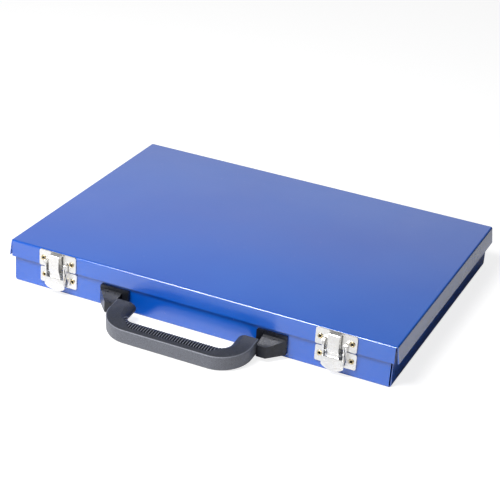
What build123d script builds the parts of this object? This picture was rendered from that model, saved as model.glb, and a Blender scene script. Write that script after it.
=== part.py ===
"""Flat sheet-steel drill bit case with a lift-up lid, two draw latches and a carrying handle.

Millimetres, +Z up.  The origin is the centre of the base tray's underside, the front is -Y.
The case stands shut on a table, with its handle lying forward on the same table.
"""

from math import atan, cos, radians, sin
import os

from build123d import *

# ------------------------------------------------------------------ driving dimensions

# Folded sheet-steel shells
case_length = 340.0            # X, over the lid's top panel
case_depth = 247.0             # Y, over the lid
case_height = 37.0             # Z, over the closed lid
sheet = 0.8                    # gauge of the painted steel sheet
bend_radius = 1.5              # outside radius of every fold
skirt_height = 14.5            # depth of the lid's skirt
skirt_flare = 2.0              # how far the side skirts spring out at their lower edge
base_inset_side = 2.6          # lid side to base side, at the top fold
base_inset_front = 1.8         # lid face to base face, front and rear
lid_rest_gap = 0.3             # base wall's rim to the underside of the lid

# Bins for loose drills
front_bin_count = 11
rear_bin_count = 8
front_bin_depth = 93.0         # clear length of a front bin
rail_width = 12.0              # cross rail between the two rows of bins
bin_plate = 0.8
bin_plate_corner = 3.0         # rounded top corners of a bin plate
bin_end_gap = 0.2              # rear bin plate's end to the inside of the tray's fold
bin_head_clearance = 0.5       # front bin plate's end to the screw heads on the front wall
rail_end_gap = 0.1             # rail's end to the inside of the tray's fold

# Foam pad under the lid
pad_thickness = 5.2
pad_margin = 10.0              # pad edge to the tray's inner walls
pad_rest_gap = 0.5             # rail and bin plates to the underside of the pad
pad_corner = 4.0

# Latches
front_fittings_x = -1.5        # common middle of the latches and the handle
latch_inset = 47.0             # lid's end to a latch's middle, before that shift
plate_width = 34.2
plate_gauge = 1.0
plate_corner = 1.5
catch_top_drop = 0.2           # catch plate's top edge below the lid's top
base_plate_top_drop = 1.9      # latch base plate's top edge below the skirt's edge
base_plate_height = 13.8
rivet_offset = 13.2            # rivet from the latch's middle
strike_width = 14.0
strike_reach = 1.3
strike_gauge = 1.0
strike_taper = 1.0             # strike's side, in at its front edge
strike_drop = 0.1              # top of the strike below the lid's top
claw_width = 9.2
claw_gauge = 0.8
claw_foot_radius = 1.8         # claw's round foot about its pin
claw_foot_gauge = 0.7          # its front plate there, drawn a little thinner
claw_toe_z = 15.7              # lower end of that plate, tucked behind the lever's web
claw_toe_gap = 0.2             # from the toe to the web
claw_face_bottom = 24.5        # lower edge of the claw's front plate
claw_face_out = 7.2            # claw's front face, out from the lid's face
claw_shoulder = 0.4            # bevel between the claw's face and its top
claw_nose_height = 3.0         # depth of the claw's sides under its lip
claw_waist_rise = 4.5          # where the sides' back edge turns in, above the claw pin
claw_waist_step = 0.8
claw_lip_gap = 0.3             # claw's lip to the strike
lever_gauge = 0.8
lever_width = 17.4
ear_gap = 0.4                  # lever cheek to the base plate's ear
ear_radius = 2.2
ear_foot_rise = 2.0            # ear's lower end above the base plate's lower edge
ear_foot_out = 0.6             # ear's depth at its lower end, beyond the base plate's face
ear_neck_out = 3.0             # ear's front edge at the base plate's top
cheek_radius = 2.0
cheek_pin_margin = 1.7         # steel either side of the claw pin's middle
lever_pivot_out = 3.8
lever_pivot_z = 28.0
claw_pivot_out = 3.4
claw_pivot_z = 19.7
lever_web_top = 16.0
thumb_tab_width = 18.6
thumb_tab_bottom = 3.6
thumb_tab_side_z = 8.4         # where the tab's round end begins
thumb_tab_out = 5.7            # tab's front face at its top
thumb_tab_end_out = 3.4        # and at its lower end
thumb_tab_bow = 0.2            # tab's front face halfway down, in from its top
thumb_tab_shoulder = 3.4       # height of the tab's straight sides
thumb_tab_slope = 1.0          # rise of the step from the tab to the lever's sides
lever_pin_radius = 1.2
lever_pin_head_rim = 0.5       # head's overhang round the lever pin
lever_pin_head_height = 0.4
lever_pin_reach = 0.2          # pin's inner end beyond the lever's cheek
claw_pin_radius = 1.0
running_clearance = 0.05       # radial, at every pivot
seat_clearance = 0.02          # radial, where a pin or shank is fast in its hole
spring_wire = 0.35             # radius of the spring wire
spring_radius = 1.75
spring_turns = 1.75
spring_turn_gap = 0.08
spring_leg = 6.5                # straight leg standing up from each coil
spring_knee_radius = 0.4       # where the leg leaves the coil
spring_gap = 0.25              # coil's first turn to the claw's side

# Tubular rivets
rivet_head_radius = 2.3
rivet_head_height = 0.7
rivet_shank_radius = 1.7
rivet_bore_radius = 1.15
rivet_tail_height = 0.45
rivet_tail_radius = 2.0
rivet_head_edge = 0.25         # straight part of the head's rim

# Handle and its brackets
handle_width = 125.0           # over the two arms
handle_thickness = 12.5
handle_reach = 35.6            # pivot to the grip's outer face
arm_tail = 3.4                 # arm beyond the pivot, towards the case
arm_end_round = 1.5
bar_corner = 26.0              # radius of the two bends, at the outer face
bar_flat = 12.0                # flat top, from the outer face to the crease on the finger side
finger_crease_angle = 20.0     # slope of the finger side where it leaves the flat top
finger_crease_pull = 9.5       # and how far the curve follows that slope
finger_under_angle = 45.0      # the same at the underside
finger_under_pull = 6.75
outer_edge_round = 1.2         # edge between the top and the outer face
handle_droop = 5.5             # degrees below level, lying on the table
table_gap = 0.1
handle_pivot_out = 10.4
handle_pin_radius = 1.8
pin_end_gap = 0.4              # pin's end to the bottom of its hole in the arm
handle_pin_engagement = 7.0    # depth of the pin's hole in the arm
bracket_pin_depth = 6.0
bracket_arm_gap = 0.5
bracket_face_out = 14.0
bracket_face_width = 8.2
bracket_plate_inner = 56.8
bracket_plate_outer = 82.7
bracket_plate_gauge = 2.6
bracket_bottom = 3.8
bracket_height = 16.0
bracket_block_top = 16.8       # block's top where it leaves the plate
bracket_face_top = 13.4
bracket_corner = 0.8
bracket_screw_x = 68.0
bracket_screw_zs = (7.2, 12.6)
screw_shank_radius = 1.4
screw_head_radius = 2.4
screw_head_height = 1.5
screw_head_round = 0.6
screw_depth = 6.4              # depth of the screw's hole in the bracket
screw_end_gap = 0.4            # screw's end to the bottom of its hole
cross_slot_length = 2.6
cross_slot_width = 0.7
cross_slot_depth = 0.8

# Hinges
hinge_inset = 65.0             # lid's end to a hinge's middle
hinge_length = 33.0
hinge_gauge = 1.0
barrel_radius = 2.2
barrel_to_skirt = 0.35
barrel_end_gap = 0.3
hinge_pin_radius = 1.1
hinge_leaf_height = 10.0
hinge_rivet_offset = 10.0
hinge_rivet_radius = 1.5
hinge_head_radius = 2.3
hinge_head_height = 0.8
hinge_tail_height = 0.4
hinge_tail_radius = 1.9
leaf_corner = 1.5
neck_foot = 2.0                # how far a neck runs down its leaf before it joins the face
neck_shoulder = 0.8            # height of a neck over the end of its leaf
neck_in = 1.4                  # neck's inner corner, in from the hinge axis
hinge_pin_overhang = 0.3       # pin's plain end beyond the barrels
hinge_pin_head_rim = 0.5
hinge_pin_head_gap = 0.1       # barrel's end to the pin's head
hinge_pin_head_height = 0.6

# ------------------------------------------------------------------ worked-out places

half_length = case_length / 2
half_depth = case_depth / 2
latch_x = half_length - latch_inset
hinge_x = half_length - hinge_inset
skirt_bottom = case_height - skirt_height
lid_underside = case_height - sheet
base_half_length = half_length - base_inset_side
base_half_depth = half_depth - base_inset_front
base_rim = lid_underside - lid_rest_gap
pad_bottom = lid_underside - pad_thickness
rail_top = pad_bottom - pad_rest_gap                # also the top of the bin plates
tray_half_x = base_half_length - sheet
tray_half_y = base_half_depth - sheet
tray_floor_x = base_half_length - bend_radius       # flat part of the tray's floor
tray_floor_y = base_half_depth - bend_radius
wall_out = -base_inset_front                        # tray's front face, out from the lid's face
base_plate_top = skirt_bottom - base_plate_top_drop
base_plate_bottom = base_plate_top - base_plate_height
base_rivet_z = (base_plate_top + base_plate_bottom) / 2
catch_plate_top = case_height - catch_top_drop
catch_rivet_z = (skirt_bottom + catch_plate_top) / 2
ear_inner = lever_width / 2 + ear_gap
ear_outer = ear_inner + plate_gauge
rail_front = -tray_half_y + front_bin_depth
rail_back = rail_front + rail_width
droop = radians(handle_droop)
half_thickness = handle_thickness / 2
handle_pivot_z = handle_reach * sin(droop) + half_thickness * cos(droop) + table_gap
arm_outer = handle_width / 2
block_inner = arm_outer + bracket_arm_gap
hinge_axis_out = barrel_radius + barrel_to_skirt    # from the lid's rear face


def front_plane(out):
    """Plane parallel to the front face, out millimetres in front of the lid; local axes are X and Z."""
    return Plane(origin=(0, -half_depth - out, 0), x_dir=(1, 0, 0), z_dir=(0, -1, 0))


def front_profile(x=0.0):
    """Plane across the front face at x; local axes are the distance out from the lid and Z."""
    return Plane(origin=(x, -half_depth, 0), x_dir=(0, -1, 0), z_dir=(-1, 0, 0))


def rear_plane(out):
    """Plane parallel to the rear face, out millimetres behind the lid; local axes are -X and Z."""
    return Plane(origin=(0, half_depth + out, 0), x_dir=(-1, 0, 0), z_dir=(0, 1, 0))


def rear_profile(x=0.0):
    """Plane across the rear face at x; local axes are the distance out from the lid and Z."""
    return Plane(origin=(x, half_depth, 0), x_dir=(0, 1, 0), z_dir=(1, 0, 0))


def write_node(name, shape, *places):
    """Put one piece, or a group of like pieces, at its places and write it as the node's STEP."""
    with BuildPart() as node:
        with Locations(*(places or [(0, 0, 0)])):
            add(shape)
    node.part.label = name
    export_step(node.part, f"parts/{name}.step")


def wall_lean(lean, height):
    """Angle by which a wall of this height leans out when its free edge is lean millimetres out."""
    return atan(lean / height)


def bend_start(edge, angle):
    """Where the flat panel ends and the bend begins, for a wall whose outer corner is at edge."""
    return edge - bend_radius * (1 - sin(angle)) / cos(angle)


def folded_wall(plane, edge, face, free_edge, lean, half_run):
    """One folded wall with its bend, as the panel's edge continues into it.

    plane has its local X pointing out of the case and its local Y up; face is the panel's outer
    face and free_edge the wall's rim.  The wall leans out by lean at its rim.
    """
    up = 1 if free_edge > face else -1
    height = abs(free_edge - face)
    angle = wall_lean(lean, height)
    start = bend_start(edge, angle)
    normal = Vector(cos(angle), -up * sin(angle))
    middle = (normal + Vector(0, -up)).normalized()
    centre = Vector(start, face + up * bend_radius)
    inner_radius = bend_radius - sheet
    rim = Vector(edge + lean, free_edge)
    with BuildPart() as wall:
        with BuildSketch(plane):
            with BuildLine():
                ThreePointArc(
                    centre - Vector(0, up * bend_radius),
                    centre + middle * bend_radius,
                    centre + normal * bend_radius,
                )
                Polyline(
                    centre + normal * bend_radius,
                    rim,
                    rim - normal * sheet,
                    centre + normal * inner_radius,
                )
                ThreePointArc(
                    centre + normal * inner_radius,
                    centre + middle * inner_radius,
                    centre - Vector(0, up * inner_radius),
                )
                Line(centre - Vector(0, up * inner_radius), centre - Vector(0, up * bend_radius))
            make_face()
        extrude(amount=half_run, both=True)
    return wall.part


def folded_box(half_x, half_y, face, rim, side_lean):
    """A flat panel with four folded walls, open at its corners; face is the panel's outer face."""
    up = 1 if rim > face else -1
    panel_x = bend_start(half_x, wall_lean(side_lean, abs(rim - face)))
    panel_y = bend_start(half_y, 0)
    side_walls = [
        folded_wall(Plane(origin=(0, 0, 0), x_dir=(out, 0, 0), z_dir=(0, -out, 0)),
                    half_x, face, rim, side_lean, panel_y)
        for out in (-1, 1)
    ]
    end_walls = [
        folded_wall(Plane(origin=(0, 0, 0), x_dir=(0, out, 0), z_dir=(out, 0, 0)),
                    half_y, face, rim, 0, panel_x)
        for out in (-1, 1)
    ]
    with BuildPart() as box:
        with BuildSketch(Plane.XY.offset(face)):
            Rectangle(2 * panel_x, 2 * panel_y)
        extrude(amount=up * sheet)
        add(side_walls)
        add(end_walls)
    return box.part


def tubular_rivet(grip):
    """Rolled tubular rivet along +Z: its head sits on z = 0 and its tail lies under the grip."""
    with BuildPart() as rivet:
        with BuildSketch(Plane.XZ):
            with BuildLine():
                Polyline(
                    (rivet_bore_radius, -grip - rivet_tail_height),
                    (rivet_tail_radius, -grip - rivet_tail_height),
                    (rivet_tail_radius, -grip),
                    (rivet_shank_radius, -grip),
                    (rivet_shank_radius, 0),
                    (rivet_head_radius, 0),
                    (rivet_head_radius, rivet_head_edge),
                )
                ThreePointArc(
                    (rivet_head_radius, rivet_head_edge),
                    ((rivet_head_radius + rivet_bore_radius) / 2, rivet_head_height),
                    (rivet_bore_radius, rivet_head_edge),
                )
                Line(
                    (rivet_bore_radius, rivet_head_edge),
                    (rivet_bore_radius, -grip - rivet_tail_height),
                )
            make_face()
        revolve(axis=Axis.Z)
    return rivet.part


def solid_rivet(grip):
    """Domed solid rivet along +Z: its head sits on z = 0 and its tail lies under the grip."""
    with BuildPart() as rivet:
        with BuildSketch(Plane.XZ):
            with BuildLine():
                Polyline(
                    (0, hinge_head_height),
                    (0, -grip - hinge_tail_height),
                    (hinge_tail_radius, -grip - hinge_tail_height),
                    (hinge_tail_radius, -grip),
                    (hinge_rivet_radius, -grip),
                    (hinge_rivet_radius, 0),
                    (hinge_head_radius, 0),
                )
                RadiusArc(
                    (hinge_head_radius, 0),
                    (0, hinge_head_height),
                    -(hinge_head_radius ** 2 + hinge_head_height ** 2) / (2 * hinge_head_height),
                )
            make_face()
        revolve(axis=Axis.Z)
    return rivet.part


os.makedirs("parts", exist_ok=True)

# ------------------------------------------------------------------ places of the fasteners

catch_rivet_seats = [
    Plane(
        origin=(
            front_fittings_x + side * latch_x + step * rivet_offset,
            -half_depth - plate_gauge,
            catch_rivet_z,
        ),
        x_dir=(1, 0, 0),
        z_dir=(0, -1, 0),
    )
    for side in (-1, 1)
    for step in (-1, 1)
]
base_rivet_seats = [
    Plane(
        origin=(
            front_fittings_x + side * latch_x + step * rivet_offset,
            -base_half_depth - plate_gauge,
            base_rivet_z,
        ),
        x_dir=(1, 0, 0),
        z_dir=(0, -1, 0),
    )
    for side in (-1, 1)
    for step in (-1, 1)
]
lid_leaf_bottom = skirt_bottom + barrel_radius + barrel_end_gap
base_leaf_top = skirt_bottom - barrel_radius - barrel_end_gap
lid_leaf_rivet_z = lid_leaf_bottom + hinge_leaf_height / 2
base_leaf_rivet_z = base_leaf_top - hinge_leaf_height / 2
hinge_lid_seats = [
    Plane(
        origin=(side * hinge_x + step * hinge_rivet_offset, half_depth + hinge_gauge, lid_leaf_rivet_z),
        x_dir=(1, 0, 0),
        z_dir=(0, 1, 0),
    )
    for side in (-1, 1)
    for step in (-1, 1)
]
hinge_base_seats = [
    Plane(
        origin=(side * hinge_x + step * hinge_rivet_offset, base_half_depth + hinge_gauge, base_leaf_rivet_z),
        x_dir=(1, 0, 0),
        z_dir=(0, 1, 0),
    )
    for side in (-1, 1)
    for step in (-1, 1)
]
bracket_screw_seats = [
    Plane(
        origin=(front_fittings_x + side * bracket_screw_x, -base_half_depth + sheet, screw_z),
        x_dir=(1, 0, 0),
        z_dir=(0, 1, 0),
    )
    for side in (-1, 1)
    for screw_z in bracket_screw_zs
]

# ------------------------------------------------------------------ base tray and its bins

tray_sheet = folded_box(base_half_length, base_half_depth, 0, base_rim, 0)
with BuildPart() as base_tray:
    add(tray_sheet)
    with Locations(*base_rivet_seats):
        Cylinder(rivet_shank_radius + seat_clearance, 4 * sheet + 2 * plate_gauge, mode=Mode.SUBTRACT)
    with Locations(*hinge_base_seats):
        Cylinder(hinge_rivet_radius + seat_clearance, 4 * sheet + 2 * hinge_gauge, mode=Mode.SUBTRACT)
    with Locations(*bracket_screw_seats):
        Cylinder(screw_shank_radius + seat_clearance, 4 * sheet, mode=Mode.SUBTRACT)
write_node("base_tray", base_tray.part)

with BuildPart() as cross_rail:
    with BuildSketch(Plane.YZ):
        with BuildLine():
            Polyline(
                (rail_front, sheet),
                (rail_front, rail_top),
                (rail_back, rail_top),
                (rail_back, sheet),
            )
            offset(amount=sheet, side=Side.RIGHT)
        make_face()
    extrude(amount=tray_floor_x - rail_end_gap, both=True)
write_node("cross_rail", cross_rail.part)


def bin_plate_solid(near, far):
    """One upright bin plate standing on the tray's floor, from y = near to y = far."""
    with BuildPart() as plate:
        with BuildSketch(Plane.XY.offset(sheet)):
            with Locations((0, (near + far) / 2)):
                Rectangle(bin_plate, far - near)
        extrude(amount=rail_top - sheet)
        fillet(plate.edges().filter_by(Axis.X).group_by(Axis.Z)[-1], radius=bin_plate_corner)
    return plate.part


front_bin_pitch = 2 * tray_half_x / front_bin_count
rear_bin_pitch = 2 * tray_half_x / rear_bin_count
front_plate_places = [(-tray_half_x + front_bin_pitch * i, 0, 0) for i in range(1, front_bin_count)]
rear_plate_places = [(-tray_half_x + rear_bin_pitch * i, 0, 0) for i in range(1, rear_bin_count)]
front_bin_near = -tray_half_y + screw_head_height + bin_head_clearance
rear_bin_far = tray_floor_y - bin_end_gap
write_node("front_bin_plates", bin_plate_solid(front_bin_near, rail_front), *front_plate_places)
write_node("rear_bin_plates", bin_plate_solid(rail_back, rear_bin_far), *rear_plate_places)

# ------------------------------------------------------------------ lid

lid_sheet = folded_box(half_length, half_depth, case_height, skirt_bottom, skirt_flare)
with BuildPart() as lid_shell:
    add(lid_sheet)
    with Locations(*catch_rivet_seats):
        Cylinder(rivet_shank_radius + seat_clearance, 4 * sheet + 2 * plate_gauge, mode=Mode.SUBTRACT)
    with Locations(*hinge_lid_seats):
        Cylinder(hinge_rivet_radius + seat_clearance, 4 * sheet + 2 * hinge_gauge, mode=Mode.SUBTRACT)
write_node("lid_shell", lid_shell.part)

with BuildPart() as lid_foam_pad:
    with BuildSketch(Plane.XY.offset(pad_bottom)):
        RectangleRounded(2 * (tray_half_x - pad_margin), 2 * (tray_half_y - pad_margin), pad_corner)
    extrude(amount=pad_thickness)
write_node("lid_foam_pad", lid_foam_pad.part)

# ------------------------------------------------------------------ latches

with BuildPart() as catch_plate:
    with BuildSketch(front_plane(0)):
        with Locations((0, catch_rivet_z)):
            RectangleRounded(plate_width, catch_plate_top - skirt_bottom, plate_corner)
        with Locations((-rivet_offset, catch_rivet_z), (rivet_offset, catch_rivet_z)):
            Circle(rivet_shank_radius + seat_clearance, mode=Mode.SUBTRACT)
    extrude(amount=plate_gauge)
    with BuildSketch(Plane.XY.offset(case_height - strike_drop)):
        Polygon(
            (-strike_width / 2, -half_depth - plate_gauge / 2),
            (strike_width / 2, -half_depth - plate_gauge / 2),
            (strike_width / 2 - strike_taper, -half_depth - plate_gauge - strike_reach),
            (-strike_width / 2 + strike_taper, -half_depth - plate_gauge - strike_reach),
            align=None,
        )
    extrude(amount=-strike_gauge)

ear_foot_bottom = base_plate_bottom + ear_foot_rise
with BuildPart() as latch_base_plate:
    with BuildSketch(front_plane(wall_out)):
        with Locations((0, base_plate_top - base_plate_height / 2)):
            RectangleRounded(plate_width, base_plate_height, plate_corner)
        with Locations((-rivet_offset, base_rivet_z), (rivet_offset, base_rivet_z)):
            Circle(rivet_shank_radius + seat_clearance, mode=Mode.SUBTRACT)
    extrude(amount=plate_gauge)
    for side in (-1, 1):
        with BuildSketch(front_profile(side * (ear_inner + ear_outer) / 2)):
            with BuildLine():
                Polyline(
                    (lever_pivot_out - ear_radius, lever_pivot_z),
                    (lever_pivot_out - ear_radius, skirt_bottom),
                    (wall_out + plate_gauge, base_plate_top),
                    (wall_out + plate_gauge / 2, base_plate_top),
                    (wall_out + plate_gauge / 2, ear_foot_bottom),
                    (wall_out + plate_gauge + ear_foot_out, ear_foot_bottom),
                    (ear_neck_out, base_plate_top),
                    (lever_pivot_out + ear_radius, lever_pivot_z),
                )
                ThreePointArc(
                    (lever_pivot_out + ear_radius, lever_pivot_z),
                    (lever_pivot_out, lever_pivot_z + ear_radius),
                    (lever_pivot_out - ear_radius, lever_pivot_z),
                )
            make_face()
            with Locations((lever_pivot_out, lever_pivot_z)):
                Circle(lever_pin_radius + seat_clearance, mode=Mode.SUBTRACT)
        extrude(amount=plate_gauge / 2, both=True)

# The web of the lever with its thumb tab: a curved side profile trimmed to the tab's front outline.
with BuildPart() as thumb_web:
    with BuildSketch(front_profile()):
        with BuildLine():
            ThreePointArc(
                (thumb_tab_out, lever_web_top),
                (thumb_tab_out - thumb_tab_bow, (lever_web_top + thumb_tab_bottom) / 2),
                (thumb_tab_end_out, thumb_tab_bottom),
            )
            offset(amount=lever_gauge, side=Side.RIGHT)
        make_face()
    extrude(amount=thumb_tab_width / 2, both=True)
    with BuildSketch(front_plane(claw_face_out + 1)):
        with BuildLine():
            Polyline(
                (-thumb_tab_width / 2, thumb_tab_side_z),
                (-thumb_tab_width / 2, thumb_tab_side_z + thumb_tab_shoulder),
                (-lever_width / 2, thumb_tab_side_z + thumb_tab_shoulder + thumb_tab_slope),
                (-lever_width / 2, lever_web_top + 1),
                (lever_width / 2, lever_web_top + 1),
                (lever_width / 2, thumb_tab_side_z + thumb_tab_shoulder + thumb_tab_slope),
                (thumb_tab_width / 2, thumb_tab_side_z + thumb_tab_shoulder),
                (thumb_tab_width / 2, thumb_tab_side_z),
            )
            ThreePointArc(
                (thumb_tab_width / 2, thumb_tab_side_z),
                (0, thumb_tab_bottom),
                (-thumb_tab_width / 2, thumb_tab_side_z),
            )
        make_face()
    extrude(amount=-claw_face_out - 1, mode=Mode.INTERSECT)

cheek_bottom = thumb_tab_side_z + 1
with BuildPart() as latch_lever:
    add(thumb_web.part)
    for side in (-1, 1):
        with BuildSketch(front_profile(side * (lever_width - lever_gauge) / 2)):
            with BuildLine():
                Polyline(
                    (lever_pivot_out - cheek_radius, lever_pivot_z),
                    (claw_pivot_out - cheek_pin_margin, claw_pivot_z),
                    (thumb_tab_end_out, cheek_bottom),
                    (thumb_tab_out - lever_gauge / 2, cheek_bottom),
                    (thumb_tab_out - lever_gauge / 2, lever_web_top),
                    (claw_pivot_out + cheek_pin_margin, claw_pivot_z),
                    (lever_pivot_out + cheek_radius, lever_pivot_z),
                )
                ThreePointArc(
                    (lever_pivot_out + cheek_radius, lever_pivot_z),
                    (lever_pivot_out, lever_pivot_z + cheek_radius),
                    (lever_pivot_out - cheek_radius, lever_pivot_z),
                )
            make_face()
            with Locations((lever_pivot_out, lever_pivot_z)):
                Circle(lever_pin_radius + running_clearance, mode=Mode.SUBTRACT)
            with Locations((claw_pivot_out, claw_pivot_z)):
                Circle(claw_pin_radius + seat_clearance, mode=Mode.SUBTRACT)
        extrude(amount=lever_gauge / 2, both=True)

# Short pins, one through each ear, with a flat head outside the ear.
lever_pin_inner = lever_width / 2 - lever_gauge - lever_pin_reach
with BuildPart() as lever_pins:
    for side in (-1, 1):
        with BuildSketch(front_profile(side * lever_pin_inner)):
            with Locations((lever_pivot_out, lever_pivot_z)):
                Circle(lever_pin_radius)
        extrude(amount=-side * (ear_outer - lever_pin_inner))
        with BuildSketch(front_profile(side * ear_outer)):
            with Locations((lever_pivot_out, lever_pivot_z)):
                Circle(lever_pin_radius + lever_pin_head_rim)
        extrude(amount=-side * lever_pin_head_height)

strike_front = plate_gauge + strike_reach
claw_back = strike_front + claw_lip_gap
claw_top = case_height - strike_drop
claw_toe_out = thumb_tab_out - lever_gauge - claw_toe_gap
with BuildPart() as latch_claw:
    with BuildSketch(front_profile()):
        with BuildLine():
            Polyline(
                (claw_face_out, claw_face_bottom),
                (claw_face_out, claw_top - claw_shoulder),
                (claw_face_out - claw_shoulder, claw_top),
                (claw_back, claw_top),
                (claw_back, claw_top - claw_gauge),
                (claw_face_out - claw_gauge, claw_top - claw_gauge),
                (claw_face_out - claw_gauge, claw_face_bottom),
                (claw_pivot_out + claw_foot_radius - claw_foot_gauge, claw_pivot_z),
                (claw_toe_out - claw_foot_gauge, claw_toe_z),
                (claw_toe_out, claw_toe_z),
                (claw_pivot_out + claw_foot_radius, claw_pivot_z),
                close=True,
            )
        make_face()
    extrude(amount=claw_width / 2, both=True)
    for side in (-1, 1):
        with BuildSketch(front_profile(side * (claw_width - claw_gauge) / 2)):
            with BuildLine():
                Polyline(
                    (claw_pivot_out + claw_foot_radius, claw_pivot_z),
                    (claw_face_out, claw_face_bottom),
                    (claw_face_out, claw_top - claw_shoulder),
                    (claw_face_out - claw_shoulder, claw_top),
                    (claw_back, claw_top),
                    (claw_back, claw_top - claw_nose_height),
                    (claw_pivot_out - claw_foot_radius + claw_waist_step, claw_pivot_z + claw_waist_rise),
                    (claw_pivot_out - claw_foot_radius, claw_pivot_z),
                )
                ThreePointArc(
                    (claw_pivot_out - claw_foot_radius, claw_pivot_z),
                    (claw_pivot_out, claw_pivot_z - claw_foot_radius),
                    (claw_pivot_out + claw_foot_radius, claw_pivot_z),
                )
            make_face()
            with Locations((claw_pivot_out, claw_pivot_z)):
                Circle(claw_pin_radius + running_clearance, mode=Mode.SUBTRACT)
        extrude(amount=claw_gauge / 2, both=True)

with BuildPart() as claw_pin:
    with BuildSketch(front_profile()):
        with Locations((claw_pivot_out, claw_pivot_z)):
            Circle(claw_pin_radius)
    extrude(amount=lever_width / 2, both=True)

# A torsion spring each side of the claw: a coil round the claw pin, with one leg standing up
# behind the claw.  The right-hand one is drawn and the left-hand one mirrors it.
spring_start = claw_width / 2 + spring_gap + spring_wire
spring_pitch = 2 * spring_wire + spring_turn_gap
with BuildPart() as claw_springs:
    with BuildLine():
        coil = Helix(
            pitch=spring_pitch,
            height=spring_pitch * spring_turns,
            radius=spring_radius,
            center=(spring_start, -half_depth - claw_pivot_out, claw_pivot_z),
            direction=(1, 0, 0),
        )
    with BuildSketch(Plane(origin=coil @ 0, z_dir=coil % 0)):
        Circle(spring_wire)
    sweep(path=coil)
    with Locations(coil @ 1):
        Sphere(spring_knee_radius)
    with BuildSketch(Plane(origin=coil @ 1, z_dir=(0, 0, 1))):
        Circle(spring_wire)
    extrude(amount=spring_leg)
    mirror(about=Plane.YZ)

catch_rivet = tubular_rivet(plate_gauge + sheet)
write_node("catch_plate_rivets", catch_rivet, *catch_rivet_seats)
write_node("latch_base_rivets", catch_rivet, *base_rivet_seats)
for hand, latch_side in (("left", -1), ("right", 1)):
    place = (front_fittings_x + latch_side * latch_x, 0, 0)
    write_node(f"{hand}_catch_plate", catch_plate.part, place)
    write_node(f"{hand}_latch_base_plate", latch_base_plate.part, place)
    write_node(f"{hand}_latch_lever", latch_lever.part, place)
    write_node(f"{hand}_lever_pins", lever_pins.part, place)
    write_node(f"{hand}_latch_claw", latch_claw.part, place)
    write_node(f"{hand}_claw_pin", claw_pin.part, place)
    write_node(f"{hand}_claw_springs", claw_springs.part, place)

# ------------------------------------------------------------------ handle

handle_plane = Plane(
    origin=(front_fittings_x, -half_depth - handle_pivot_out, handle_pivot_z),
    x_dir=(1, 0, 0),
    z_dir=(0, -sin(droop), cos(droop)),
)

# Drawn lying level about its pivot, with the arms along Y and the grip at -Y, then tipped forward.
# The section runs along the outer face: flat outside, above and below, and rounded on the
# finger side, where it swells to 17.3 wide a little above the middle.
with BuildPart() as level_handle:
    with BuildLine():
        outer_line = FilletPolyline(
            (-arm_outer, arm_tail),
            (-arm_outer, -handle_reach),
            (arm_outer, -handle_reach),
            (arm_outer, arm_tail),
            radius=bar_corner,
        )
    with BuildSketch(Plane(origin=outer_line @ 0, x_dir=(1, 0, 0), z_dir=(0, -1, 0))) as section:
        with BuildLine():
            Polyline(
                (bar_flat, -half_thickness),
                (0, -half_thickness),
                (0, half_thickness),
                (bar_flat, half_thickness),
            )
            Bezier(
                (bar_flat, half_thickness),
                (
                    bar_flat + finger_crease_pull * cos(radians(finger_crease_angle)),
                    half_thickness - finger_crease_pull * sin(radians(finger_crease_angle)),
                ),
                (
                    bar_flat + finger_under_pull * cos(radians(finger_under_angle)),
                    -half_thickness + finger_under_pull * sin(radians(finger_under_angle)),
                ),
                (bar_flat, -half_thickness),
            )
        make_face()
        fillet(section.vertices().group_by(Axis.X)[0], radius=outer_edge_round)
    sweep(path=outer_line)
    fillet(level_handle.edges().group_by(Axis.Y)[-1], radius=arm_end_round)
    for side in (-1, 1):
        with Locations(Location((side * arm_outer, 0, 0), (0, -side * 90, 0))):
            Cylinder(
                handle_pin_radius + running_clearance,
                handle_pin_engagement,
                align=(Align.CENTER, Align.CENTER, Align.MIN),
                mode=Mode.SUBTRACT,
            )
write_node("handle", level_handle.part, handle_plane.location)

handle_pin_inner = arm_outer - handle_pin_engagement + pin_end_gap
with BuildPart() as handle_pins:
    for side in (-1, 1):
        with BuildSketch(front_profile(side * handle_pin_inner)):
            with Locations((handle_pivot_out, handle_pivot_z)):
                Circle(handle_pin_radius)
        extrude(amount=-side * (block_inner + bracket_pin_depth - handle_pin_inner))
fittings_place = (front_fittings_x, 0, 0)
write_node("handle_pins", handle_pins.part, fittings_place)


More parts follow.
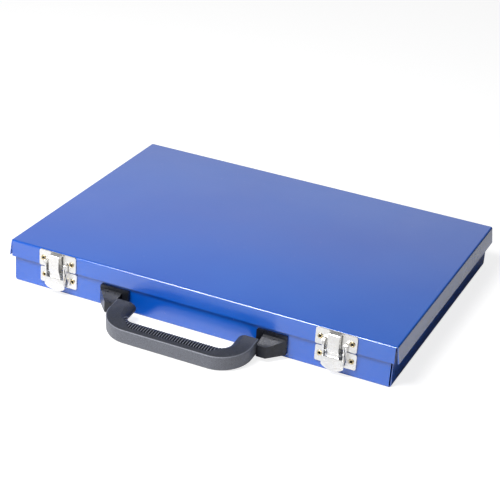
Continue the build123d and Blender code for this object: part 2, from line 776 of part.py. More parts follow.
def handle_bracket(side):
    """Moulded bracket at one arm: a plate on the tray wall and a wedge-shaped block for the pin."""
    plate_face = wall_out + bracket_plate_gauge
    with BuildPart() as block:
        with BuildSketch(Plane.XY.offset(bracket_bottom)):
            with BuildLine():
                Polyline(
                    (side * block_inner, -half_depth - wall_out),
                    (side * block_inner, -half_depth - bracket_face_out),
                    (side * (block_inner + bracket_face_width), -half_depth - bracket_face_out),
                    (side * bracket_plate_outer, -half_depth - plate_face),
                    (side * bracket_plate_outer, -half_depth - wall_out),
                    close=True,
                )
            make_face()
        extrude(amount=bracket_height)
        fillet(block.edges().filter_by(Axis.Z).group_by(Axis.Y)[0], radius=bracket_corner)
        with BuildSketch(front_profile()):
            Polygon(
                (wall_out, bracket_bottom),
                (wall_out, bracket_block_top),
                (plate_face, bracket_block_top),
                (bracket_face_out, bracket_face_top),
                (bracket_face_out, bracket_bottom),
                align=None,
            )
        extrude(amount=2 * bracket_plate_outer, both=True, mode=Mode.INTERSECT)
    with BuildPart() as bracket:
        with BuildSketch(front_plane(wall_out)):
            with Locations(
                (side * (bracket_plate_inner + bracket_plate_outer) / 2, bracket_bottom + bracket_height / 2)
            ):
                RectangleRounded(
                    bracket_plate_outer - bracket_plate_inner, bracket_height, bracket_corner
                )
        extrude(amount=bracket_plate_gauge)
        add(block.part)
        with BuildSketch(front_profile(side * block_inner)):
            with Locations((handle_pivot_out, handle_pivot_z)):
                Circle(handle_pin_radius + seat_clearance)
        extrude(amount=-side * bracket_pin_depth, mode=Mode.SUBTRACT)
        with BuildSketch(front_plane(wall_out)):
            with Locations(*[(side * bracket_screw_x, screw_z) for screw_z in bracket_screw_zs]):
                Circle(screw_shank_radius + seat_clearance)
        extrude(amount=screw_depth, mode=Mode.SUBTRACT)
    return bracket.part


write_node("left_handle_bracket", handle_bracket(-1), fittings_place)
write_node("right_handle_bracket", handle_bracket(1), fittings_place)

# Pan-head screws driven from inside the tray into the brackets; +Z points into the case.
with BuildPart() as bracket_screw:
    Cylinder(screw_head_radius, screw_head_height, align=(Align.CENTER, Align.CENTER, Align.MIN))
    fillet(bracket_screw.edges().group_by(Axis.Z)[-1], radius=screw_head_round)
    Cylinder(
        screw_shank_radius,
        sheet + screw_depth - screw_end_gap,
        align=(Align.CENTER, Align.CENTER, Align.MAX),
    )
    with Locations((0, 0, screw_head_height)):
        Box(cross_slot_length, cross_slot_width, 2 * cross_slot_depth, mode=Mode.SUBTRACT)
        Box(cross_slot_width, cross_slot_length, 2 * cross_slot_depth, mode=Mode.SUBTRACT)
write_node("bracket_screws", bracket_screw.part, *bracket_screw_seats)

# ------------------------------------------------------------------ hinges

barrel_pitch = hinge_length / 3
barrel_run = barrel_pitch - barrel_end_gap


def hinge_leaf(leaf_bottom, leaf_face, neck_points, barrel_middles):
    """A hinge leaf on the rear wall, with its rolled barrels on the hinge axis.

    leaf_face is how far the leaf's mounting face lies behind the lid's rear face.
    """
    with BuildPart() as leaf:
        with BuildSketch(rear_plane(leaf_face)):
            with Locations((0, leaf_bottom + hinge_leaf_height / 2)):
                RectangleRounded(hinge_length, hinge_leaf_height, leaf_corner)
        extrude(amount=hinge_gauge)
        for middle in barrel_middles:
            with BuildSketch(rear_profile(middle)):
                with BuildLine():
                    Polyline(*neck_points, close=True)
                make_face()
                with Locations((hinge_axis_out, skirt_bottom)):
                    Circle(barrel_radius)
                    Circle(hinge_pin_radius + running_clearance, mode=Mode.SUBTRACT)
            extrude(amount=barrel_run / 2, both=True)
        with BuildSketch(rear_plane(leaf_face)):
            with Locations(
                (-hinge_rivet_offset, leaf_bottom + hinge_leaf_height / 2),
                (hinge_rivet_offset, leaf_bottom + hinge_leaf_height / 2),
            ):
                Circle(hinge_rivet_radius + seat_clearance)
        extrude(amount=hinge_gauge, mode=Mode.SUBTRACT)
    return leaf.part


base_leaf_face = -base_inset_front
base_neck = (
    (base_leaf_face, base_leaf_top - neck_foot),
    (base_leaf_face, base_leaf_top + neck_shoulder),
    (hinge_axis_out - neck_in, skirt_bottom - neck_shoulder),
    (hinge_axis_out, skirt_bottom - barrel_radius),
    (base_leaf_face + hinge_gauge, base_leaf_top - neck_foot),
)
lid_neck = (
    (0, lid_leaf_bottom + neck_foot),
    (0, skirt_bottom + neck_shoulder),
    (hinge_axis_out - neck_in, skirt_bottom + neck_shoulder / 2),
    (hinge_axis_out, skirt_bottom + barrel_radius),
    (hinge_gauge, lid_leaf_bottom + neck_foot),
)
hinge_base_leaf = hinge_leaf(
    base_leaf_top - hinge_leaf_height, base_leaf_face, base_neck, (-barrel_pitch, barrel_pitch)
)
hinge_lid_leaf = hinge_leaf(lid_leaf_bottom, 0, lid_neck, (0,))

with BuildPart() as hinge_pin:
    with BuildSketch(rear_profile()):
        with Locations((hinge_axis_out, skirt_bottom)):
            Circle(hinge_pin_radius)
    extrude(amount=hinge_length / 2 + hinge_pin_overhang, both=True)
    for side in (-1, 1):
        with BuildSketch(rear_profile(side * (hinge_length / 2 + hinge_pin_head_gap))):
            with Locations((hinge_axis_out, skirt_bottom)):
                Circle(hinge_pin_radius + hinge_pin_head_rim)
        extrude(amount=side * hinge_pin_head_height)

hinge_rivet = solid_rivet(hinge_gauge + sheet)
write_node("hinge_lid_rivets", hinge_rivet, *hinge_lid_seats)
write_node("hinge_base_rivets", hinge_rivet, *hinge_base_seats)
for hand, place in (("left", (-hinge_x, 0, 0)), ("right", (hinge_x, 0, 0))):
    write_node(f"{hand}_hinge_base_leaf", hinge_base_leaf, place)
    write_node(f"{hand}_hinge_lid_leaf", hinge_lid_leaf, place)
    write_node(f"{hand}_hinge_pin", hinge_pin.part, place)
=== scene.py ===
"""Drill bit case: a flat blue sheet-steel case with two draw latches and a black swing handle.

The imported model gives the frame.  Each section adds one piece, or one group of like pieces, in the
order the case is put together.  Metres, +Z up, the front of the case is -Y.
"""

from math import cos, pi, radians, sin

import bpy
import numpy as np
from mathutils import Matrix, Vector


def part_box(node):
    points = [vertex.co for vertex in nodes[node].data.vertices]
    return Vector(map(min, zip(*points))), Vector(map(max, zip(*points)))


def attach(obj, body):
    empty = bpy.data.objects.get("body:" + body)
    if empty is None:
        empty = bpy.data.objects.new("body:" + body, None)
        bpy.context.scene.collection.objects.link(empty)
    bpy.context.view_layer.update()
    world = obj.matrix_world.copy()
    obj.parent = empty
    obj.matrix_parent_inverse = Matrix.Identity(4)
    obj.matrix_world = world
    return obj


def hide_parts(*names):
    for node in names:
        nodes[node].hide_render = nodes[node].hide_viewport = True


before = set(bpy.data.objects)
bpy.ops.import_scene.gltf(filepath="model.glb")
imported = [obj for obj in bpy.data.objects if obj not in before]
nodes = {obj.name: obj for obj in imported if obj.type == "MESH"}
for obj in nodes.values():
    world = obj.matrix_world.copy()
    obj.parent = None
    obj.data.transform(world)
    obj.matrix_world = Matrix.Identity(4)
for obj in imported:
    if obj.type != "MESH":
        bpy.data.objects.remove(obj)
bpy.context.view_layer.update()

# ---------------------------------------------------------------- base tray and cross rail
# The tray is 0.8 mm cold-rolled sheet folded up on four sides, with a folded rail spot-welded
# across its floor.  Both are sprayed in glossy royal-blue stove enamel and baked.

enamel_blue, enamel_thin = (0.0010, 0.100, 0.600, 1), (0.0040, 0.130, 0.660, 1)
dust_pale = (0.55, 0.60, 0.75, 1)
enamel_index, clear_coat_roughness = 1.85, 0.05
wall_lean = 0.080                 # slope of the walls' normals, about 4.6 degrees
wave_depth, peel_depth = 0.0012, 0.00002


def node_maker(tree):
    """A function that adds a node to the tree, with its settings given by socket or property."""
    def add(kind, **settings):
        node = tree.nodes.new(kind)
        for key, value in settings.items():
            if key in node.inputs:
                node.inputs[key].default_value = value
            else:
                setattr(node, key, value)
        return node

    return add


def new_material(name):
    """A fresh node material: itself, its shader, its node maker and its joiner of sockets."""
    material = bpy.data.materials.new(name)
    material.use_nodes = True
    tree = material.node_tree
    return material, tree.nodes["Principled BSDF"], node_maker(tree), tree.links.new


def grainy(add, join, scale, detail=2.0, roughness=0.5, stretch=(1, 1, 1)):
    """Noise on Object coordinates: scale in waves per metre, stretch squeezes it along an axis."""
    place = add("ShaderNodeTexCoord")
    mapping = add("ShaderNodeMapping", Scale=stretch)
    noise = add("ShaderNodeTexNoise", Scale=scale, Detail=detail, Roughness=roughness)
    join(place.outputs["Object"], mapping.inputs["Vector"])
    join(mapping.outputs["Vector"], noise.inputs["Vector"])
    return noise.outputs["Fac"]


def spread(add, join, factor, low, high, start=0.3, end=0.7):
    """A factor in start..end turned into low..high, held at both ends."""
    ends = {"From Min": start, "From Max": end, "To Min": low, "To Max": high}
    span = add("ShaderNodeMapRange", **ends)
    join(factor, span.inputs["Value"])
    return span.outputs["Result"]


def blend(add, join, factor, first, second):
    """Mix of two colours by a factor; either may be a colour or another node's output."""
    mix = add("ShaderNodeMix", data_type="RGBA")
    for socket, colour in ((mix.inputs[6], first), (mix.inputs[7], second)):
        if isinstance(colour, tuple):
            socket.default_value = colour
        else:
            join(colour, socket)
    join(factor, mix.inputs[0])
    return mix.outputs[2]


def relief(add, join, shader, *layers):
    """Bumps laid over each other: a layer is a height signal, its depth in metres, its strength."""
    under = None
    for height, depth, strength in layers:
        bump = add("ShaderNodeBump", Strength=strength, Distance=depth)
        join(height, bump.inputs["Height"])
        if under is not None:
            join(under, bump.inputs["Normal"])
        under = bump.outputs["Normal"]
    join(under, shader.inputs["Normal"])


def dress(material, *names):
    """The material on these CAD nodes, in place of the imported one."""
    for name in names:
        nodes[name].data.materials.clear()
        nodes[name].data.materials.append(material)


blue_enamel, shader, add, join = new_material("royal_blue_enamel")
drift = grainy(add, join, 7.0, detail=3.0)
colour = blend(add, join, spread(add, join, drift, 0, 1), enamel_blue, enamel_thin)
specks = grainy(add, join, 900.0, detail=1.0)
dust = spread(add, join, specks, 0, 0.5, 0.80, 0.84)
join(blend(add, join, dust, colour, dust_pale), shader.inputs["Base Color"])
haze = grainy(add, join, 26.0, detail=4.0, roughness=0.6)
join(spread(add, join, haze, 0.13, 0.22), shader.inputs["Roughness"])
sheet_wave = grainy(add, join, 11.0, detail=0.0, stretch=(1, 1, 0.3))
orange_peel = grainy(add, join, 600.0, detail=1.5)
# A guess: the folded walls have sprung open a little.  Only the bump tips their normals up, by
# wall_lean; the sheet itself stays upright.
level = add("ShaderNodeSeparateXYZ")
join(add("ShaderNodeTexCoord").outputs["Object"], level.inputs["Vector"])
sprung = add("ShaderNodeMath", operation="SUBTRACT")
sprung.inputs[0].default_value = 0.0
join(level.outputs["Z"], sprung.inputs[1])
relief(add, join, shader, (sprung.outputs["Value"], wall_lean, 1.0), (sheet_wave, wave_depth, 0.35),
       (orange_peel, peel_depth, 0.5))
shader.inputs["IOR"].default_value = enamel_index
shader.inputs["Coat Weight"].default_value = 1.0
shader.inputs["Coat Roughness"].default_value = clear_coat_roughness
dress(blue_enamel, "base_tray", "cross_rail")

# ---------------------------------------------------------------- bin plates
# Upright plates of bare bright steel strip, sheared and deburred, tacked between the rail and the
# walls to part the drills by size.

steel_dull, steel_bright = (0.42, 0.43, 0.45, 1), (0.60, 0.61, 0.62, 1)

plate_steel, shader, add, join = new_material("sheared_steel_strip")
brushed = grainy(add, join, 300.0, detail=4.0, stretch=(1, 0.04, 1))
join(blend(add, join, spread(add, join, brushed, 0, 1), steel_dull, steel_bright),
     shader.inputs["Base Color"])
join(spread(add, join, brushed, 0.28, 0.46), shader.inputs["Roughness"])
relief(add, join, shader, (brushed, 0.00003, 0.5))
shader.inputs["Metallic"].default_value = 1.0
dress(plate_steel, "front_bin_plates", "rear_bin_plates")

# ---------------------------------------------------------------- lid
# One more sheet folded down on four sides, in the same enamel, with its corners left open.  Its
# end skirts spring out a little at the bottom.

dress(blue_enamel, "lid_shell")

# ---------------------------------------------------------------- foam pad
# A slab of closed-cell polyethylene foam glued under the lid, which keeps the drills in their
# bins.  It is knife-cut, so its edges are soft and its face is a little pillowed between them.

pad_low, pad_high = (np.array(corner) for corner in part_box("lid_foam_pad"))
pad_corner, pad_edge_round, pad_sag = 0.004, 0.0012, 0.0005
crown_width = 0.18                # share of the half depth over which the face rounds off
corner_points, edge_points, face_rings = 8, 6, 22
foam_dark, foam_light = (0.030, 0.031, 0.034, 1), (0.055, 0.056, 0.060, 1)


def grid_piece(name, points, loop_across=False):
    """Mesh from a grid of points, rows x columns; rows may close on themselves, ends are capped."""
    rows, columns = points.shape[:2]
    index = np.arange(rows * columns).reshape(rows, columns)
    following = np.roll(index, -1, axis=1) if loop_across else index[:, 1:]
    here = index if loop_across else index[:, :-1]
    quads = np.stack([here[:-1], here[1:], following[1:], following[:-1]], axis=-1).reshape(-1, 4)
    mesh = bpy.data.meshes.new(name)
    faces = quads.tolist()
    if loop_across:
        faces += [index[0].tolist(), index[-1][::-1].tolist()]
    mesh.from_pydata(points.reshape(-1, 3).tolist(), [], faces)
    mesh.update()
    piece = bpy.data.objects.new(name, mesh)
    bpy.context.collection.objects.link(piece)
    return piece


def rounded_outline(half_x, half_y, corner, count):
    """Rectangle with round corners: each corner is a quarter circle of points, four in turn."""
    turn = np.linspace(0, pi / 2, count)
    arcs = []
    for quarter, (side_x, side_y) in enumerate(((1, 1), (-1, 1), (-1, -1), (1, -1))):
        angle = turn + quarter * pi / 2
        arcs.append(np.stack([side_x * (half_x - corner) + corner * np.cos(angle),
                              side_y * (half_y - corner) + corner * np.sin(angle)], axis=-1))
    return np.concatenate(arcs)


# Rings of the outline, each scaled in from the edge and set at a height: up the cut side, round
# the lower edge on a quarter circle, then inwards over the face, which sags by a smooth crown.
half_x, half_y = (pad_high - pad_low)[:2] / 2
middle = (pad_high + pad_low)[:2] / 2
edge_turn = np.linspace(0, pi / 2, edge_points)
inset = np.concatenate([[0.0], pad_edge_round * (1 - np.cos(edge_turn)),
                        np.linspace(0.02, 0.98, face_rings) * half_y])
edge_height = pad_low[2] + pad_sag + pad_edge_round * (1 - np.sin(edge_turn))
crown = np.clip(inset[1 + edge_points:] / (crown_width * half_y), 0, 1)
face_height = pad_low[2] + pad_sag * (1 - crown * crown * (3 - 2 * crown))
ring_height = np.concatenate([[pad_high[2]], edge_height, face_height])
outline = rounded_outline(half_x, half_y, pad_corner, corner_points)
scale_x = (half_x - inset)[:, None] / half_x
scale_y = (half_y - inset)[:, None] / half_y
ring_z = np.broadcast_to(ring_height[:, None], scale_x.shape).repeat(len(outline), axis=1)
rings = np.stack([middle[0] + outline[:, 0] * scale_x, middle[1] + outline[:, 1] * scale_y, ring_z],
                 axis=-1)
foam_pad = grid_piece("foam_pad", rings, loop_across=True)

foam, shader, add, join = new_material("closed_cell_foam")
cells = add("ShaderNodeTexVoronoi", Scale=900.0)
place = add("ShaderNodeTexCoord")
join(place.outputs["Object"], cells.inputs["Vector"])
shade = grainy(add, join, 18.0, detail=4.0)
join(blend(add, join, spread(add, join, shade, 0, 1), foam_dark, foam_light),
     shader.inputs["Base Color"])
shader.inputs["Roughness"].default_value = 0.9
relief(add, join, shader, (cells.outputs["Distance"], 0.0003, 0.6), (shade, 0.0006, 0.4))
foam_pad.data.materials.append(foam)
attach(foam_pad, "lid")
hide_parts("lid_foam_pad")

# ---------------------------------------------------------------- latches
# Two draw latches stamped from sheet steel and bright nickel-plated: catch plate on the lid, base
# plate with ears on the tray, thumb lever between the ears and a claw on the lever.

nickel_bright, nickel_smeared = (0.95, 0.94, 0.92, 1), (0.88, 0.87, 0.84, 1)
nickel_stain = (0.55, 0.50, 0.44, 1)

nickel, shader, add, join = new_material("bright_nickel_plate")
smear = grainy(add, join, 140.0, detail=3.0)
stain = grainy(add, join, 900.0, detail=2.0)
colour = blend(add, join, spread(add, join, smear, 0, 1), nickel_bright, nickel_smeared)
join(blend(add, join, spread(add, join, stain, 0, 0.35, 0.62, 0.72), colour, nickel_stain),
     shader.inputs["Base Color"])
join(spread(add, join, smear, 0.22, 0.36), shader.inputs["Roughness"])
relief(add, join, shader, (smear, 0.0002, 0.25), (stain, 0.00002, 0.4))
shader.inputs["Metallic"].default_value = 1.0
for hand in ("left", "right"):
    dress(nickel, f"{hand}_catch_plate", f"{hand}_latch_base_plate", f"{hand}_latch_lever",
          f"{hand}_latch_claw", f"{hand}_lever_pins")

# ---------------------------------------------------------------- latch rivets
# Hollow rivets rolled from brass tube, which fasten the catch plates to the lid and the base
# plates to the tray.  The brass has tarnished in fine patches.

brass_bright, brass_tarnished = (0.90, 0.80, 0.56, 1), (0.66, 0.50, 0.26, 1)

brass, shader, add, join = new_material("tarnished_brass")
tarnish = grainy(add, join, 900.0, detail=3.0)
join(blend(add, join, spread(add, join, tarnish, 0, 1), brass_bright, brass_tarnished),
     shader.inputs["Base Color"])
join(spread(add, join, tarnish, 0.20, 0.40), shader.inputs["Roughness"])
relief(add, join, shader, (tarnish, 0.00003, 0.5))
shader.inputs["Metallic"].default_value = 1.0
dress(brass, "catch_plate_rivets", "latch_base_rivets")

# ---------------------------------------------------------------- pins, springs and screws
# Drawn steel wire and bar: the screws and pins of the handle, the pins and springs of the claws
# and the pins of the hinges.  Fine drawing marks run along X.

drawn_dull, drawn_bright = (0.30, 0.31, 0.33, 1), (0.52, 0.53, 0.55, 1)

bar_steel, shader, add, join = new_material("drawn_steel")
drawn = grainy(add, join, 1500.0, detail=3.0, stretch=(0.05, 1, 1))
join(blend(add, join, spread(add, join, drawn, 0, 1), drawn_dull, drawn_bright),
     shader.inputs["Base Color"])
join(spread(add, join, drawn, 0.24, 0.42), shader.inputs["Roughness"])
relief(add, join, shader, (drawn, 0.00002, 0.5))
shader.inputs["Metallic"].default_value = 1.0
dress(bar_steel, "bracket_screws", "handle_pins")
for hand in ("left", "right"):
    dress(bar_steel, f"{hand}_claw_pin", f"{hand}_claw_springs", f"{hand}_hinge_pin")

# ---------------------------------------------------------------- handle brackets
# Injection-moulded black nylon blocks, screwed to the tray from inside.  The mould was polished,
# so they are glossier than the handle.

bracket_dark, bracket_light = (0.008, 0.009, 0.013, 1), (0.017, 0.019, 0.027, 1)

moulded_black, shader, add, join = new_material("polished_black_nylon")
flow = grainy(add, join, 120.0, detail=4.0)
join(blend(add, join, spread(add, join, flow, 0, 1), bracket_dark, bracket_light),
     shader.inputs["Base Color"])
join(spread(add, join, flow, 0.22, 0.38), shader.inputs["Roughness"])
grain = grainy(add, join, 2600.0, detail=2.0)
relief(add, join, shader, (flow, 0.0001, 0.3), (grain, 0.00003, 0.5))
shader.inputs["Specular IOR Level"].default_value = 0.35
shader.inputs["Coat Weight"].default_value = 0.2
shader.inputs["Coat Roughness"].default_value = 0.15
dress(moulded_black, "left_handle_bracket", "right_handle_bracket")

# ---------------------------------------------------------------- handle
# One injection moulding in grained black nylon, swinging on two pins.  Its section is flat outside
# and rounded on the finger side, where short ribs across the grip keep it from slipping.

handle_origin = np.array([-0.0015, -0.1339, 0.009733])
droop = radians(5.5)
arm_outer, arm_tail, reach, bend = 0.0625, 0.0034, 0.0356, 0.0260
half_thickness, flat_width, edge_round, end_round = 0.00625, 0.0120, 0.0012, 0.0015
crease_angle, crease_pull, under_angle, under_pull = radians(20), 0.0095, radians(45), 0.00675
rib_pitch, groove_depth = 0.00230, 0.00095
ribs_full, ribs_end, ribs_last = 0.0338, 0.0425, 0.0454
rib_start_grip, rib_start_end = 0.0054, 0.0142
field_curve, field_fade = 1.2, 0.0004
wave_lift, wave_gain = 0.95, 1.6  # a groove wider than the rib beside it, both squared off
# Share and reach of the painted reflection on the outer face, and the painted highlights on the rib
# tops and upper edge.
face_sheen, face_sheen_depth, rib_highlight = 0.55, 0.0003, 0.8
edge_highlight_place, edge_highlight_width = 0.0004, 0.0006
round_points, face_points, flat_points, finger_points = 8, 9, 26, 34
tip_points, arm_points, bend_points, points_per_rib = 8, 12, 68, 10
sharp_angle = radians(16)
nylon_dark, nylon_light = (0.022, 0.024, 0.030, 1), (0.060, 0.064, 0.078, 1)
# Painted reflection and highlight colours for the outer face, its upper edge and the rib tops.
sheen_dark, sheen_light = (0.190, 0.200, 0.240, 1), (0.330, 0.345, 0.400, 1)
# The grey is real scuffing; the near-black colour is painted shade in the grooves.
scuff_grey, groove_shade = (0.15, 0.16, 0.18, 1), (0.003, 0.003, 0.004, 1)


def handle_section():
    """Closed outline, inwards and up: bottom flat, round, outer face, round, top flat, finger side.

    The finger side is a cubic Bezier curve: the sum of its four control points weighted by
    (1-t)^3, 3(1-t)^2 t, 3(1-t) t^2 and t^3.
    """
    turn = np.linspace(0, pi / 2, round_points)[1:-1]
    low = np.stack([edge_round * (1 - np.sin(turn)),
                    -half_thickness + edge_round * (1 - np.cos(turn))], -1)
    high = low[::-1] * [1, -1]
    face_rise = np.linspace(edge_round - half_thickness, half_thickness - edge_round, face_points)
    face = np.stack([np.zeros(face_points), face_rise], -1)
    along = np.linspace(edge_round, flat_width, flat_points)
    top = np.stack([along, np.full(flat_points, half_thickness)], -1)
    t = np.linspace(0, 1, finger_points)[1:-1, None]
    crease = np.array([flat_width, half_thickness])
    under = np.array([flat_width, -half_thickness])
    pull = crease + crease_pull * np.array([cos(crease_angle), -sin(crease_angle)])
    under_point = under + under_pull * np.array([cos(under_angle), sin(under_angle)])
    finger = ((1 - t) ** 3 * crease + 3 * (1 - t) ** 2 * t * pull
              + 3 * (1 - t) * t ** 2 * under_point + t ** 3 * under)
    return np.concatenate([top[::-1] * [1, -1], low, face, high, top, finger])


def handle_path():
    """Stations along the outer face: straight arm, quarter-circle bend, grip, bend, arm.

    Gives each station's point, its inward direction and how near it is to an arm's end.
    """
    arm = arm_tail + reach - bend
    fine = rib_pitch / points_per_rib
    grip_half = arm_outer - bend
    tip = end_round * (1 - np.cos(np.linspace(0, pi / 2, tip_points)))
    first = np.concatenate([tip, np.linspace(end_round, arm, arm_points)[1:]])
    bend_turn = np.linspace(0, pi / 2, bend_points)[1:]
    grip = np.arange(1, int(2 * grip_half / fine)) * fine
    left = np.stack([np.full_like(first, -arm_outer), arm_tail - first], -1)
    left_in = np.broadcast_to([1.0, 0.0], left.shape)
    turn_in = np.stack([np.cos(bend_turn), np.sin(bend_turn)], -1)
    corner = np.array([-grip_half, bend - reach]) - bend * turn_in
    bar = np.stack([-grip_half + grip, np.full_like(grip, -reach)], -1)
    bar_in = np.broadcast_to([0.0, 1.0], bar.shape)
    mirror = np.array([-1.0, 1.0])
    points = np.concatenate([left, corner, bar, corner[::-1] * mirror, left[::-1] * mirror])
    inwards = np.concatenate([left_in, turn_in, bar_in, turn_in[::-1] * mirror,
                              left_in[::-1] * mirror])
    shrink = np.clip(1 - first / end_round, 0, 1)
    rest = np.zeros(len(points) - 2 * len(first))
    return points, inwards, np.concatenate([shrink, rest, shrink[::-1]])


section = handle_section()
points, inwards, tip = handle_path()
# Round ends: near a tip the outline draws in towards its middle line by end_round times
# 1 - sqrt(1 - tip^2), a quarter circle.
draw_in = end_round * (1 - np.sqrt(np.clip(1 - tip ** 2, 0, 1)))
centre = np.array([flat_width / 2, 0.0])
reach_from_centre = section - centre
inner = reach_from_centre * (1 - draw_in[:, None, None] / half_thickness) + centre
plan = points[:, None, :] + inwards[:, None, :] * inner[..., :1]
# Grooves: the outline sinks along its own normal by groove_depth times a squared-off sine of the
# distance along the grip, inside a field whose ends run out over the finger side.
normal = np.roll(section, -1, axis=0) - np.roll(section, 1, axis=0)
normal = np.stack([-normal[:, 1], normal[:, 0]], -1)
normal /= np.linalg.norm(normal, axis=1, keepdims=True)
grip_x, grip_y = plan[..., 0], plan[..., 1] + reach
field_end = rib_start_grip + (rib_start_end - rib_start_grip) * np.clip(
    (np.abs(grip_x) - ribs_full) / (ribs_end - ribs_full), 0, 2) ** field_curve
in_field = np.clip((grip_y - field_end) / field_fade, 0, 1) * (np.abs(grip_x) < ribs_last)
wave = np.clip(wave_lift + wave_gain * np.cos(2 * pi * grip_x / rib_pitch), 0, 1)
sunk = inner - groove_depth * (wave * in_field)[..., None] * normal * np.sign(
    (normal * reach_from_centre).sum(-1))[:, None]
plan = points[:, None, :] + inwards[:, None, :] * sunk[..., :1]
rise = sunk[..., 1]
surface = np.stack([plan[..., 0], plan[..., 1] * cos(droop) - rise * sin(droop),
                    plan[..., 1] * sin(droop) + rise * cos(droop)], -1) + handle_origin
grip_handle = grid_piece("grip_handle", surface, loop_across=True)
# Painted light and shade are kept as two attributes of the surface.  The outer face is painted pale
# as a reflection, its upper edge and the tops of the ribs carry a painted highlight; the grooves are
# painted dark as shade.
outer_face = face_sheen * np.clip(1 - section[:, 0] / face_sheen_depth, 0, 1)
upper_edge = np.clip(1 - np.abs(section[:, 0] - edge_highlight_place) / edge_highlight_width, 0, 1)
upper_edge = upper_edge * (section[:, 1] > 0)
painted_light = np.maximum(np.maximum(outer_face, upper_edge)[None, :], rib_highlight * in_field * (1 - wave))
for label, values in (("painted_light", painted_light), ("groove", in_field * wave)):
    store = grip_handle.data.attributes.new(label, "FLOAT", "POINT")
    store.data.foreach_set("value", values.ravel().astype(np.float32))
grip_handle.data.set_sharp_from_angle(angle=sharp_angle)
all_smooth = np.ones(len(grip_handle.data.polygons), bool)
grip_handle.data.polygons.foreach_set("use_smooth", all_smooth)

handle_nylon, shader, add, join = new_material("grained_black_nylon")
grain = grainy(add, join, 1900.0, detail=2.0, roughness=0.6)
scuff = grainy(add, join, 60.0, detail=5.0, roughness=0.65)
grain_share = spread(add, join, grain, 0, 1, 0.35, 0.65)
moulded = blend(add, join, grain_share, nylon_dark, nylon_light)
painted_sheen = blend(add, join, grain_share, sheen_dark, sheen_light)
painted_light_here = add("ShaderNodeAttribute", attribute_name="painted_light").outputs["Fac"]
groove_here = add("ShaderNodeAttribute", attribute_name="groove").outputs["Fac"]
# Painted reflection and highlight laid over the moulded colour.
colour = blend(add, join, painted_light_here, moulded, painted_sheen)
colour = blend(add, join, spread(add, join, scuff, 0, 0.25, 0.55, 0.75), colour, scuff_grey)
# The grooves get painted shade, near black.
join(blend(add, join, groove_here, colour, groove_shade), shader.inputs["Base Color"])
join(spread(add, join, scuff, 0.36, 0.52), shader.inputs["Roughness"])
relief(add, join, shader, (grain, 0.00012, 0.7))
grip_handle.data.materials.append(handle_nylon)
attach(grip_handle, "handle")
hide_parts("handle")

# ---------------------------------------------------------------- hinges
# Two butt hinges of stamped steel at the back, one leaf riveted to the lid and one to the tray.
# Their zinc plating has a faint spangle.

zinc_dull, zinc_bright = (0.58, 0.60, 0.63, 1), (0.74, 0.75, 0.76, 1)
zinc_edge = (0.45, 0.47, 0.50, 1)

zinc, shader, add, join = new_material("zinc_plate")
spangle = add("ShaderNodeTexVoronoi", Scale=420.0)
place = add("ShaderNodeTexCoord")
join(place.outputs["Object"], spangle.inputs["Vector"])
cloud = grainy(add, join, 200.0, detail=3.0)
tint = blend(add, join, spread(add, join, cloud, 0, 1), zinc_dull, zinc_bright)
join(blend(add, join, spread(add, join, spangle.outputs["Distance"], 0, 0.3, 0.2, 0.9), tint,
           zinc_edge), shader.inputs["Base Color"])
join(spread(add, join, cloud, 0.26, 0.44), shader.inputs["Roughness"])
relief(add, join, shader, (cloud, 0.00004, 0.4))
shader.inputs["Metallic"].default_value = 1.0
dress(zinc, "hinge_base_rivets", "hinge_lid_rivets")
for hand in ("left", "right"):
    dress(zinc, f"{hand}_hinge_base_leaf", f"{hand}_hinge_lid_leaf")

# ---------------------------------------------------------------- table, lights and camera
# A table under one soft box in front, above and to the left.  The camera sees it white, while the
# case mirrors a table that darkens to the right.  The lens stands to the right of the front.

table_half, table_drop = 8.0, 0.0002
mirrored_left, mirrored_right, darkens_from, darkens_to = 0.88, 0.10, 0.200, 0.300
seen_grey, seen_glow = 0.42, 0.82
world_tint = (0.97, 0.98, 1.0, 1)
world_left, world_right, world_turn = 0.66, 0.08, 0.25
world_stops = ((0.36, 1.0), (0.42, 1.0), (0.48, 0.40), (0.60, 0.15), (0.85, 0.05))
key_place, key_width, key_height, key_power = (-0.25, -0.55, 0.85), 0.5, 0.4, 11.3

table_mesh = bpy.data.meshes.new("table")
table_mesh.from_pydata([(x * table_half, y * table_half, -table_drop)
                        for x, y in ((-1, -1), (1, -1), (1, 1), (-1, 1))], [], [(0, 1, 2, 3)])
table = bpy.data.objects.new("table", table_mesh)
bpy.context.collection.objects.link(table)
table_white, shader, add, join = new_material("white_table")
place = add("ShaderNodeTexCoord")
split = add("ShaderNodeSeparateXYZ")
join(place.outputs["Object"], split.inputs["Vector"])
falling = spread(add, join, split.outputs["X"], mirrored_left, mirrored_right,
                 darkens_from, darkens_to)
seen = add("ShaderNodeLightPath")
white = add("ShaderNodeMix", data_type="FLOAT")
join(seen.outputs["Is Camera Ray"], white.inputs[0])
join(falling, white.inputs[2])
white.inputs[3].default_value = seen_grey
join(white.outputs[0], shader.inputs["Base Color"])
shader.inputs["Roughness"].default_value = 1.0
shader.inputs["Specular IOR Level"].default_value = 0.0
shader.inputs["Emission Color"].default_value = (1, 1, 1, 1)
join(spread(add, join, seen.outputs["Is Camera Ray"], 0.0, seen_glow, 0, 1),
     shader.inputs["Emission Strength"])
table.data.materials.append(table_white)

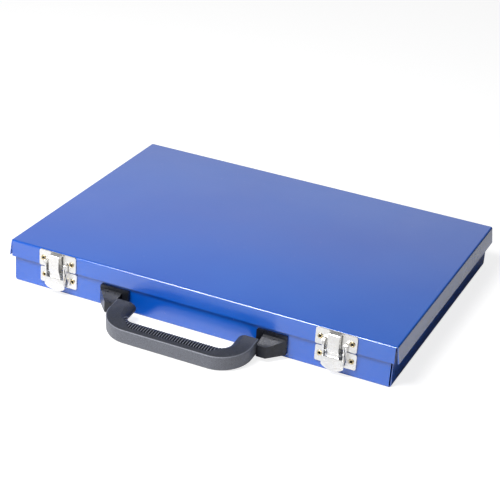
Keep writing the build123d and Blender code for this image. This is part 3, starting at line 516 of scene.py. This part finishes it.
world = bpy.data.worlds.new("studio")
world.use_nodes = True
tree = world.node_tree
add, join = node_maker(tree), tree.links.new
background = tree.nodes["Background"]
background.inputs["Color"].default_value = world_tint
direction = add("ShaderNodeTexCoord")
split = add("ShaderNodeSeparateXYZ")
join(direction.outputs["Generated"], split.inputs["Vector"])
side = spread(add, join, split.outputs["X"], world_left, world_right, -world_turn, world_turn)
height_fade = add("ShaderNodeValToRGB")
for stop, (position, grey) in enumerate(world_stops):
    if stop > 1:
        height_fade.color_ramp.elements.new(position)
    height_fade.color_ramp.elements[stop].position = position
    height_fade.color_ramp.elements[stop].color = (grey, grey, grey, 1)
join(split.outputs["Z"], height_fade.inputs["Fac"])
product = add("ShaderNodeMath", operation="MULTIPLY")
join(side, product.inputs[0])
join(height_fade.outputs["Color"], product.inputs[1])
join(product.outputs["Value"], background.inputs["Strength"])
bpy.context.scene.world = world


def soft_box(name, place, target, width, height, power):
    """Rectangular area light at a place, facing a target."""
    light = bpy.data.lights.new(name, "AREA")
    light.shape = "RECTANGLE"
    light.size, light.size_y, light.energy = width, height, power
    lamp = bpy.data.objects.new(name, light)
    bpy.context.collection.objects.link(lamp)
    away = np.array(place) - np.array(target)
    away /= np.linalg.norm(away)
    across = np.cross([0, 0, 1], away)
    across /= np.linalg.norm(across)
    stand = np.eye(4)
    stand[:3, 0], stand[:3, 1] = across, np.cross(away, across)
    stand[:3, 2], stand[:3, 3] = away, place
    lamp.matrix_world = Matrix(stand.tolist())


soft_box("key_light", key_place, (0, 0, 0), key_width, key_height, key_power)

camera_place = np.array([0.4476, -1.0715, 0.5974])
azimuth, elevation, roll = radians(23.03), radians(26.44), radians(4.18)
back = np.array([sin(azimuth) * cos(elevation), -cos(azimuth) * cos(elevation), sin(elevation)])
right = np.cross([0, 0, 1], back)
right /= np.linalg.norm(right)
up = np.cross(back, right)
lens = bpy.data.cameras.new("camera")
lens.lens, lens.sensor_width, lens.clip_end = 108.77, 36.0, 60.0
camera = bpy.data.objects.new("camera", lens)
stand = np.eye(4)
stand[:3, 0] = cos(roll) * right + sin(roll) * up
stand[:3, 1] = cos(roll) * up - sin(roll) * right
stand[:3, 2], stand[:3, 3] = back, camera_place
camera.matrix_world = Matrix(stand.tolist())
bpy.context.collection.objects.link(camera)
bpy.context.scene.camera = camera
bpy.context.scene.view_settings.view_transform = "Standard"
